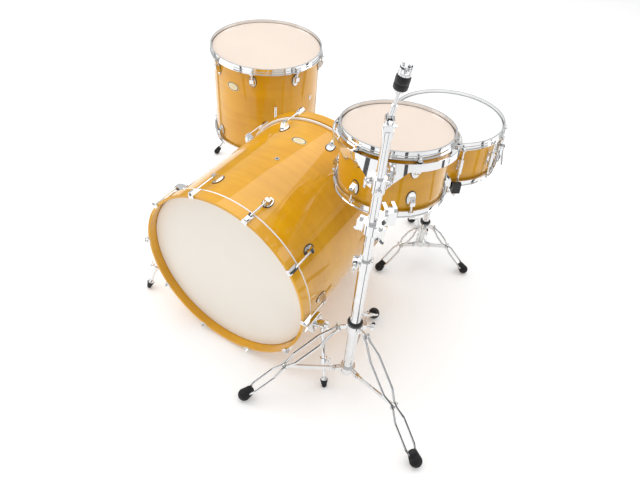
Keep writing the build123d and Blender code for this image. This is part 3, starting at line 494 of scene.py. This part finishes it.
def bent(corners, cut):
    """Control points that keep a line straight up to a short bend at each of its corners."""
    points = [corners[0]]
    for before, here, after in zip(corners, corners[1:], corners[2:]):
        points += [here + (before - here).normalized() * cut, here, here + (after - here).normalized() * cut]
    return points + [corners[-1]]


def foot_form(form, at, r, high, neck):
    """A moulded rubber foot about the Z of a frame: a ribbed cone that ends in a round nose."""
    nose = [(r * sin(t), r * cos(t)) for t in (k * pi / 16 for k in range(9))]
    flank = []
    ribs = 4
    for k in range(ribs):
        z = -high * (k + 0.35) / ribs
        width = r + (neck - r) * (-z / high)
        flank += [(width, z + 0.10 * high / ribs), (width - 0.05 * r, z)]
        flank.append((width - 0.05 * r, z - 0.12 * high / ribs))
        flank.append((width - 0.01 * r, z - 0.22 * high / ribs))
    top = [(neck, -high), (neck * 0.86, -high - 0.1 * r), (0, -high - 0.1 * r)]
    lathe(form, nose + flank + top, at, 48)


# ================================================================== props
class KitFinishes(bpy.types.PropertyGroup):
    maple_light: FloatVectorProperty(
        name="Light maple", description="Paler tone of the lacquered wood", subtype="COLOR",
        default=(0.84, 0.430, 0.006), min=0, max=1,
    )
    maple_dark: FloatVectorProperty(
        name="Dark maple", description="Deeper tone of the lacquered wood", subtype="COLOR",
        default=(0.64, 0.290, 0.002), min=0, max=1,
    )
    chrome_tint: FloatVectorProperty(
        name="Chrome", description="Colour of the plating", subtype="COLOR",
        default=(0.83, 0.835, 0.84), min=0, max=1,
    )
    cream_film: FloatVectorProperty(
        name="Cream head", description="Colour of the bass drum's heads", subtype="COLOR",
        default=(0.87, 0.815, 0.735), min=0, max=1,
    )
    clear_film: FloatVectorProperty(
        name="Clear head", description="Tint of the toms' clear heads", subtype="COLOR",
        default=(0.87, 0.745, 0.645), min=0, max=1,
    )
    coated_film: FloatVectorProperty(
        name="Coated head", description="Colour of the snare drum's heads", subtype="COLOR",
        default=(0.86, 0.87, 0.86), min=0, max=1,
    )
    clear_cover: FloatProperty(
        name="Clear head cover", description="How much of what lies inside the tom the film hides",
        default=0.86, min=0, max=1, subtype="FACTOR",
    )
    gasket_margin: FloatProperty(
        name="Gasket margin", description="How far a lug's pad shows round its foot",
        default=0.0020, min=0, max=0.01, unit="LENGTH",
    )
    wire_count: IntProperty(
        name="Snare wires", description="Number of coiled wires", default=20, min=1, max=42,
    )
    wire_pitch: FloatProperty(
        name="Wire pitch", description="Length of one turn of a coiled wire",
        default=0.0030, min=0.001, max=0.02, unit="LENGTH",
    )
    light_power: FloatProperty(
        name="Light", description="Power that the soft boxes are scaled from",
        default=42.0, min=0, unit="POWER",
    )


# ================================================================== operators
class Builder:
    bl_options = {"REGISTER", "UNDO"}

    def execute(self, context):
        self.build(context.scene.kit_finishes)
        return {"FINISHED"}


class KIT_OT_carried(Builder, bpy.types.Operator):
    """Gives every frame node that stays visible its detailed finish"""

    bl_idname = "kit.carried"
    bl_label = "Finish the frame's own parts"

    def build(self, look):
        special = {
            "bass_shell": maple("bass"), "bass_hoops": maple("bass"), "floor_shell": maple("floor"),
            "rack_shell": maple("rack"), "snare_shell": maple("snare"), "shell_badges": chrome("chrome"),
            "stand_leg_collar": nylon_ringed("stand_leg_collar"),
            "snare_stand_leg_collar": nylon_ringed("snare_stand_leg_collar"),
            "snare_basket": rubber_tipped(), "rack_suspension_ring": grommeted(), "cymbal_felt": felt(),
            "snare_wires": wire(),
        }
        for name, node in NODES.items():
            node.data.materials.clear()
            node.data.materials.append(special.get(name, chrome("chrome")).material)


class KIT_OT_heads(Builder, bpy.types.Operator):
    """Films with rolled collars, and the rings that they are set in"""

    bl_idname = "kit.heads"
    bl_label = "Drum heads"

    def build(self, look):
        kinds = {"bass": ("cream", "plastic", 17, 7.4), "floor": ("clear", "metal", 9.2, 4.4),
                 "rack": ("clear", "metal", 9.2, 4.4), "snare": ("coated", "metal", 9.2, 4.4)}
        for drum, (kind, ring, skirt, flesh) in kinds.items():
            r, skirt, flesh = RADIUS[drum], skirt * MM, flesh * MM
            for end, flip in (("top", Matrix.Identity(4)), ("bottom", FLIP)):
                at = DRUMS[drum] @ flip @ Matrix.Translation((0, 0, HALF[drum]))
                form = bmesh.new()
                inner = [(0, 0.05 * MM), (r - 6 * MM, 0.05 * MM), (r, 0.05 * MM), (r + 0.75 * MM, -0.6 * MM)]
                outer = [(r + 1.18 * MM, -skirt + 5 * MM), (r + 1.18 * MM, -0.7 * MM),
                         (r + 0.6 * MM, 0.3 * MM), (r - 0.8 * MM, 0.48 * MM), (r - 9 * MM, 0.44 * MM),
                         (r * 0.5, 0.48 * MM), (0, 0.5 * MM)]
                lathe(form, inner + [(r + 0.75 * MM, -skirt + 5 * MM)] + outer, at, 160)
                piece = finished(f"{drum}_film_{end}", made(form, f"{drum}_film"), RIDES[drum], film(kind))
                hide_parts(f"{drum}_heads")
                form = bmesh.new()
                low, high, near, far = -skirt, -skirt + 5 * MM, r + 0.7 * MM, r + 0.7 * MM + flesh
                lathe(form, rounded([(near, low), (far, low), (far, high), (near, high)], 1.0 * MM), at, 160)
                finished(f"{drum}_ring_{end}", made(form, f"{drum}_ring"), RIDES[drum], flesh_ring(ring))


class KIT_OT_gaskets(Builder, bpy.types.Operator):
    """The dark oval pads between the lugs and the shells"""

    bl_idname = "kit.gaskets"
    bl_label = "Lug gaskets"

    def build(self, look):
        for drum, (first, step) in LUG_FIRST.items():
            form = bmesh.new()
            for flip in (Matrix.Identity(4), FLIP):
                for k in range(int(360 / step)):
                    at = DRUMS[drum] @ turned(first + step * k) @ flip
                    self.pad(form, at, RADIUS[drum], HALF[drum] - LUG_DROP[drum], look.gasket_margin)
            finished(drum + "_gaskets", made(form, drum + "_gaskets"), RIDES[drum], gasket())

    def pad(self, form, at, r, height, margin):
        """One domed oval that follows the shell."""
        tall, wide = 21 * MM + margin, 12.5 * MM + margin
        levels = [(1.0, 0.02), (1.0, 0.8), (0.96, 1.15), (0.6, 1.2)]
        rings = []
        for share, lift in levels:
            ring = []
            for k in range(40):
                t = 2 * pi * k / 40
                turn = share * wide * sin(t) / r
                out = r + lift * MM
                spot = Vector((out * cos(turn), out * sin(turn), height + share * tall * cos(t)))
                ring.append(form.verts.new(at @ spot))
            rings.append(ring)
        for low, high in zip(rings, rings[1:]):
            for k in range(40):
                n = (k + 1) % 40
                form.faces.new((low[k], low[n], high[n], high[k]))
        form.faces.new(rings[-1])
        form.faces.new(rings[0][::-1])


class KIT_OT_badges(Builder, bpy.types.Operator):
    """Oval badges with a raised rim"""

    bl_idname = "kit.badges"
    bl_label = "Badges"

    def build(self, look):
        for drum, (angle, height) in BADGES.items():
            wide, high = (50 * MM, 32 * MM) if drum == "rack" else (54 * MM, 34 * MM)
            r = RADIUS[drum]
            form = bmesh.new()
            levels = [(1.0, 1.32), (1.0, 1.7), (0.97, 2.05), (0.90, 2.05)]
            levels += [(0.88, 1.6), (0.6, 1.7), (0.3, 1.75)]
            rings = []
            for share, lift in levels:
                ring = []
                for k in range(64):
                    t = 2 * pi * k / 64
                    turn = share * wide / 2 * sin(t) / r
                    out = r + lift * MM
                    spot = Vector((out * cos(turn) - r, out * sin(turn), share * high / 2 * cos(t)))
                    ring.append(form.verts.new((-spot.z, spot.y, spot.x)))
                rings.append(ring)
            for low, top in zip(rings, rings[1:]):
                for k in range(64):
                    n = (k + 1) % 64
                    form.faces.new((low[k], low[n], top[n], top[k]))
            form.faces.new(rings[-1])
            form.faces.new(rings[0][::-1])
            face = Matrix(((0, 0, 1, r), (0, 1, 0, 0), (-1, 0, 0, height * MM), (0, 0, 0, 1)))
            at = DRUMS[drum] @ turned(angle) @ face
            finished(drum + "_badge_face", made(form, drum + "_badge"), RIDES[drum], badge(wide, high), at)


class KIT_OT_tripods(Builder, bpy.types.Operator):
    """The double bent bars, rivets and rubber feet of both stands' legs"""

    bl_idname = "kit.tripods"
    bl_label = "Tripod legs"

    def build(self, look):
        stands = {
            "stand": ("stand", 268 * MM, 298.6 * MM, 0.55, 4.0 * MM, 17 * MM, 20 * MM),
            "snare": ("snare_stand", 152 * MM, 139.6 * MM, 0.44, 3.6 * MM, 14 * MM, 17 * MM),
        }
        for joint, (node, reach, drop, share, r, wide, foot_r) in stands.items():
            for letter in "abc":
                hinge = JOINTS[f"{joint}_leg_hinge_{letter}"]
                side = Vector(hinge["axis"])
                out = side.cross(Vector((0, 0, 1)))
                self.leg(f"{node}_leg_{letter}", f"{joint}_leg_{letter}", Vector(hinge["pos_m"]), side,
                         out * reach - Vector((0, 0, drop)), share, r, wide, foot_r)

    def leg(self, node, body, top, side, run, share, r, wide, foot_r):
        """One leg: bars pinched at the hinge, the brace's rivets and the foot."""
        near = r + 3 * MM
        outline = [(-0.01, near), (0.06, near), (0.18, wide), (share - 0.11, wide), (share - 0.025, near),
                   (share + 0.025, near), (share + 0.12, wide), (0.88, wide), (0.97, near + 1 * MM)]
        runs = [bent([top + run * s + side * (way * y) for s, y in outline], 7 * MM) for way in (-1, 1)]
        bars = finished(node + "_bars", rail(node, runs, r), body, chrome("chrome"))
        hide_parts(node)
        form = bmesh.new()
        knee = top + run * share
        for way in (-1, 1):
            rivet = aimed(knee + side * (way * 2.8 * MM), side * way)
            lathe(form, [(0, 0), (3 * MM, 0), (3 * MM, near), (5 * MM, near + 3.4 * MM),
                         (4.4 * MM, near + 5 * MM), (2 * MM, near + 6 * MM), (0, near + 6.2 * MM)], rivet, 24)
        pin = aimed(top, side)
        ends = [(0, -near - 5.8 * MM), (4.2 * MM, -near - 5 * MM)]
        ends += [(4.8 * MM, -near - 3.8 * MM), (3 * MM, -near - 3 * MM)]
        lathe(form, ends + [(x, -z) for x, z in reversed(ends)], pin, 24)
        finished(node + "_rivets", made(form, node + "_rivets"), body, chrome("chrome"))
        form = bmesh.new()
        foot = top + run
        foot.z = foot_r - 0.6 * MM
        foot_form(form, aimed(foot, run.normalized()), foot.z, 1.5 * foot_r, 0.72 * foot_r)
        finished(node + "_foot", made(form, node + "_foot"), body, rubber())


class KIT_OT_floor_legs(Builder, bpy.types.Operator):
    """The floor tom's bent legs and the bass drum's spur rods, with their rubber feet"""

    bl_idname = "kit.floor_legs"
    bl_label = "Floor tom legs and spurs"

    def build(self, look):
        centre = DRUMS["floor"].translation
        legs = {"front": (-46.5, -46.5), "left": (178.5, 222.0), "back": (88.5, 88.5)}
        for word, (place, bend) in legs.items():
            node = "floor_leg_" + word
            stem = turned(place) @ Vector((FLOOR_R + 26 * MM, 0, 0)) + Vector((centre.x, centre.y, 0))
            kick = turned(bend) @ Vector((44 * MM, 0, 0))
            up = Vector((0, 0, 1))
            knee = stem + up * 78 * MM
            foot = stem + kick + up * 12 * MM
            run = bent([stem + up * 0.470, knee, foot], 16 * MM)
            steel = finished(node + "_bar", rail(node, [run], 5 * MM), node, chrome("chrome"))
            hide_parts(node)
            form = bmesh.new()
            foot_form(form, aimed(foot, (foot - knee).normalized()), 12 * MM, 26 * MM, 8.5 * MM)
            finished(node + "_foot", made(form, node + "_foot"), node, rubber())
        for word in ("left", "right"):
            self.spur(word)

    def spur(self, word):
        """The telescopic rod, its turned cup and its rubber tip."""
        node, body = "spur_rod_" + word, f"spur_{word}_inner"
        along = -Vector(JOINTS["spur_length_" + word]["axis"])
        fold = JOINTS["spur_fold_" + word]
        outward = Vector(fold["axis"]) * (1 if word == "right" else -1)
        start = Vector(fold["pos_m"]) + outward * 8.4 * MM
        reach = (8 * MM - start.z) / along.z
        at = aimed(start, along)
        form = bmesh.new()
        rod = [(0, 70 * MM), (5.7 * MM, 70 * MM), (5.7 * MM, reach - 36 * MM), (8 * MM, reach - 33 * MM),
               (11 * MM, reach - 27 * MM), (11 * MM, reach - 24.5 * MM), (0, reach - 24.5 * MM)]
        lathe(form, rounded(rod, 0.8 * MM), at, 48)
        steel = finished(node + "_steel", made(form, node), body, chrome("chrome"))
        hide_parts(node)
        form = bmesh.new()
        foot_form(form, at @ Matrix.Translation((0, 0, reach - 0.5 * MM)), 7.9 * MM, 23 * MM, 12.4 * MM)
        finished(node + "_tip", made(form, node + "_tip"), body, rubber())


class KIT_OT_felt(Builder, bpy.types.Operator):
    """The cymbal's pressed felt, with its crowned and slightly matted surface"""

    bl_idname = "kit.felt"
    bl_label = "Cymbal felt"

    def build(self, look):
        lean = Vector(JOINTS["cymbal_nut_turn"]["axis"])
        at = aimed(JOINTS["cymbal_nut_turn"]["pos_m"], lean)
        form = bmesh.new()
        belly = [(4.4, 71), (13.8, 71), (15.1, 72.6), (15.45, 79), (15.2, 84.6), (14.9, 85), (15.3, 85.4),
                 (15.5, 92), (15.1, 98.4), (13.8, 100), (4.4, 100)]
        lathe(form, [(r * MM, z * MM) for r, z in belly], at, 72)
        piece = finished("cymbal_felts", made(form, "cymbal_felts"), "cymbal_tilter", felt(), smooth=60)
        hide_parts("cymbal_felt")
        self.crown(at)

    def crown(self, at):
        """The threaded cap above the felt and its four blunt prongs."""
        form = bmesh.new()
        cap = [(4.3, 100.4), (12.6, 100.4), (13.2, 101.4), (13.2, 106), (12.4, 107), (4.3, 107)]
        lathe(form, rounded([(r * MM, z * MM) for r, z in cap], 0.5 * MM), at, 64)
        for k in range(4):
            spin = at @ turned(45 + 90 * k)
            rows = []
            for z, near, far, spread in ((106.6, 8.4, 13.0, 28), (113, 8.8, 13.4, 27), (119.6, 9.2, 13.6, 24),
                                         (121, 10.0, 12.8, 20)):
                edge = [(near, -spread), (near, 0), (near, spread), (far, spread), (far, 0), (far, -spread)]
                spots = [Vector((r * MM * cos(radians(t)), r * MM * sin(radians(t)), z * MM)) for r, t in edge]
                rows.append([form.verts.new(spin @ spot) for spot in spots])
            for low, high in zip(rows, rows[1:]):
                for c in range(6):
                    form.faces.new((low[c], low[(c + 1) % 6], high[(c + 1) % 6], high[c]))
            form.faces.new(rows[-1])
            form.faces.new(rows[0][::-1])
        mesh = made(form, "crown_prongs")
        piece = finished("crown_prongs", mesh, "cymbal_nut", chrome("chrome"), bevel=0.4 * MM)
        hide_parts("cymbal_crown")


class KIT_OT_wires(Builder, bpy.types.Operator):
    """Coiled snare wires under the bottom head, and the plates that they are soldered to"""

    bl_idname = "kit.wires"
    bl_label = "Snare wires"

    def build(self, look):
        at = DRUMS["snare"] @ turned(1.5)
        level = -HALF["snare"] - 1.75 * MM
        runs = []
        turns = int(0.296 / look.wire_pitch)
        for k in range(look.wire_count):
            y = (k - (look.wire_count - 1) / 2) * 2 * MM
            coil = []
            for s in range(turns * 6 + 1):
                t = s * pi / 3
                x = -0.148 + s * look.wire_pitch / 6
                coil.append(at @ Vector((x, y + 0.6 * MM * cos(t), level + 0.6 * MM * sin(t))))
            runs.append(coil)
        coils = finished("snare_coils", rail("snare_coils", runs, 0.22 * MM, 2, 2), "snare", wire())
        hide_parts("snare_wires")
        form = bmesh.new()
        for side in (-1, 1):
            size = Matrix.Diagonal((12 * MM, 42 * MM, 1.5 * MM, 1))
            place = at @ Matrix.Translation((side * 156.2 * MM, 0, level)) @ size
            bmesh.ops.create_cube(form, size=1.0, matrix=place)
        finished("snare_end_plates", made(form, "snare_end_plates"), "snare", wire(), bevel=0.5 * MM)


class KIT_OT_lug_screws(Builder, bpy.types.Operator):
    """The lugs' screws and washers inside the toms, which show through the clear heads"""

    bl_idname = "kit.lug_screws"
    bl_label = "Lug screws"

    def build(self, look):
        for drum in ("floor", "rack"):
            first, step = LUG_FIRST[drum]
            form = bmesh.new()
            for flip in (Matrix.Identity(4), FLIP):
                for k in range(int(360 / step)):
                    for lift in (-9 * MM, 9 * MM):
                        spot = Vector((RADIUS[drum] - 6.9 * MM, 0, HALF[drum] - LUG_DROP[drum] + lift))
                        at = DRUMS[drum] @ turned(first + step * k) @ flip @ Matrix.Translation(spot)
                        head = [(0, 0), (6.5, 0), (6.5, 1.1), (4.2, 1.3), (4.2, 3.4), (3.2, 4.4), (0, 4.8)]
                        inward = at @ Matrix.Rotation(-pi / 2, 4, "Y")
                        lathe(form, [(r * MM, z * MM) for r, z in head], inward, 16)
            finished(drum + "_lug_screws", made(form, drum + "_lug_screws"), RIDES[drum], chrome("chrome"))


class KIT_OT_stage(Builder, bpy.types.Operator):
    """Pale floor with a painted glow, soft lights, dark cards that paint reflections into the chrome, and the
    camera
    """

    bl_idname = "kit.stage"
    bl_label = "Stage"

    def build(self, look):
        self.floor()
        self.lights(look)
        self.reflection_cards()
        self.camera()
        self.world()
        bpy.context.scene.view_settings.view_transform = "Standard"

    def floor(self):
        form = bmesh.new()
        bmesh.ops.create_grid(form, x_segments=1, y_segments=1, size=9.0)
        mesh = bpy.data.meshes.new("floor")
        form.to_mesh(mesh)
        form.free()
        floor = bpy.data.objects.new("floor", mesh)
        bpy.context.scene.collection.objects.link(floor)
        paper = Finish("paper_white_painted_glow", "chrome")
        paper.feed(Base_Color=paper.mix(paper.noise(1.5), (0.93, 0.93, 0.935), (0.95, 0.95, 0.95)))
        paper.shader.inputs["Roughness"].default_value = 0.9
        # Painted glow: the floor emits a faint white light of its own, which keeps it reading white and also
        # lights the kit a little.
        paper.shader.inputs["Emission Color"].default_value = (1.0, 1.0, 1.0, 1.0)
        paper.shader.inputs["Emission Strength"].default_value = 0.14
        mesh.materials.append(paper.material)

    def reflection_cards(self):
        # Painted reflections: dark spokes on the floor and a dark ring of wall that only glossy rays meet, so
        # the chrome shows dark streaks; the camera, diffuse light and shadows never see them.
        form = bmesh.new()
        spokes = ((15, 2.4), (58, 3.6), (107, 1.8), (168, 3.2), (229, 2.2), (262, 3.8), (318, 2.6))
        for middle_angle, half in spokes:
            corners = []
            for reach, side in ((0.85, -1), (0.85, 1), (4.0, 1), (4.0, -1)):
                turn = radians(middle_angle + side * half)
                corners.append(form.verts.new((reach * cos(turn), reach * sin(turn), 0.003)))
            form.faces.new(corners)
        for k in range(48):
            wall = [(2 * pi * (k + step) / 48, z) for step, z in ((0, 0.05), (1, 0.05), (1, 1.15), (0, 1.15))]
            form.faces.new([form.verts.new((4.2 * cos(t), 4.2 * sin(t), z)) for t, z in wall])
        mesh = bpy.data.meshes.new("reflection_cards")
        form.to_mesh(mesh)
        form.free()
        reflection_cards = bpy.data.objects.new("reflection_cards", mesh)
        bpy.context.scene.collection.objects.link(reflection_cards)
        # Dark card colour, seen only as painted reflections in the chrome.
        black = Finish("painted_reflection_black", "chrome", Roughness=0.9)
        black.feed(Base_Color=black.mix(black.noise(2.0), (0.05, 0.05, 0.053), (0.10, 0.10, 0.105)))
        mesh.materials.append(black.material)
        reflection_cards.visible_camera = False
        reflection_cards.visible_diffuse = False
        reflection_cards.visible_shadow = False

    def lights(self, look):
        boxes = {
            "overhead": ((-0.5, 0.6, 3.2), (0, 0.1, 0), 3.6, look.light_power * 1.3),
            "side": ((-2.6, -1.2, 2.2), (0, 0, 0.4), 2.0, look.light_power * 0.5),
            "back": ((2.2, 2.2, 2.4), (0.1, 0, 0.5), 1.8, look.light_power * 0.4),
            "front": ((-0.4, -3.4, 1.5), (0, 0, 0.4), 1.8, look.light_power * 0.2),
        }
        for name, (place, target, size, power) in boxes.items():
            light = bpy.data.lights.new(name, "AREA")
            light.shape, light.size, light.energy = "SQUARE", size, power
            lamp = bpy.data.objects.new(name, light)
            lamp.location = place
            lamp.rotation_euler = (Vector(target) - Vector(place)).to_track_quat("-Z", "Y").to_euler()
            bpy.context.scene.collection.objects.link(lamp)

    def camera(self):
        azimuth, pitch, roll = radians(27.848), radians(43.63), radians(5.22)
        ahead = Vector((-sin(azimuth) * cos(pitch), cos(azimuth) * cos(pitch), -sin(pitch)))
        level = Vector((cos(azimuth), sin(azimuth), 0))
        up = level.cross(ahead)
        across = level * cos(roll) + up * sin(roll)
        above = up * cos(roll) - level * sin(roll)
        data = bpy.data.cameras.new("camera")
        data.sensor_width, data.lens = 36.0, 32.955
        camera = bpy.data.objects.new("camera", data)
        turn = Matrix((across, above, -ahead)).transposed().to_4x4()
        camera.matrix_world = Matrix.Translation((0.77926, -1.38355, 1.616)) @ turn
        bpy.context.scene.collection.objects.link(camera)
        bpy.context.scene.camera = camera

    def world(self):
        """A pale room that darkens towards the horizon, so that chrome has something to show."""
        world = bpy.data.worlds.new("studio")
        world.use_nodes = True
        tree = world.node_tree
        place = tree.nodes.new("ShaderNodeTexCoord").outputs["Generated"]
        split = tree.nodes.new("ShaderNodeSeparateXYZ")
        ramp = tree.nodes.new("ShaderNodeValToRGB")
        ramp.color_ramp.elements[0].position, ramp.color_ramp.elements[0].color = 0.02, (0.80, 0.81, 0.83, 1)
        ramp.color_ramp.elements[1].position, ramp.color_ramp.elements[1].color = 0.45, (1, 1, 1, 1)
        tree.links.new(place, split.inputs[0])
        tree.links.new(split.outputs[2], ramp.inputs[0])
        tree.links.new(ramp.outputs[0], tree.nodes["Background"].inputs["Color"])
        tree.nodes["Background"].inputs["Strength"].default_value = 0.70
        bpy.context.scene.world = world


OPERATORS = (
    KIT_OT_carried, KIT_OT_heads, KIT_OT_gaskets, KIT_OT_badges, KIT_OT_tripods, KIT_OT_floor_legs,
    KIT_OT_felt, KIT_OT_wires, KIT_OT_lug_screws, KIT_OT_stage,
)


class KIT_PT_panel(bpy.types.Panel):
    bl_idname = "KIT_PT_panel"
    bl_label = "Drum kit"
    bl_space_type = "VIEW_3D"
    bl_region_type = "UI"
    bl_category = "Drum kit"

    def draw(self, context):
        for name in KitFinishes.__annotations__:
            self.layout.prop(context.scene.kit_finishes, name)
        for operator in OPERATORS:
            self.layout.operator(operator.bl_idname)


CLASSES = (KitFinishes, *OPERATORS, KIT_PT_panel)


def register():
    for cls in CLASSES:
        bpy.utils.register_class(cls)
    bpy.types.Scene.kit_finishes = PointerProperty(type=KitFinishes)


def unregister():
    del bpy.types.Scene.kit_finishes
    for cls in reversed(CLASSES):
        bpy.utils.unregister_class(cls)


def main():
    register()
    for operator in OPERATORS:
        group, name = operator.bl_idname.split(".")
        getattr(getattr(bpy.ops, group), name)()


if __name__ == "__main__":
    main()
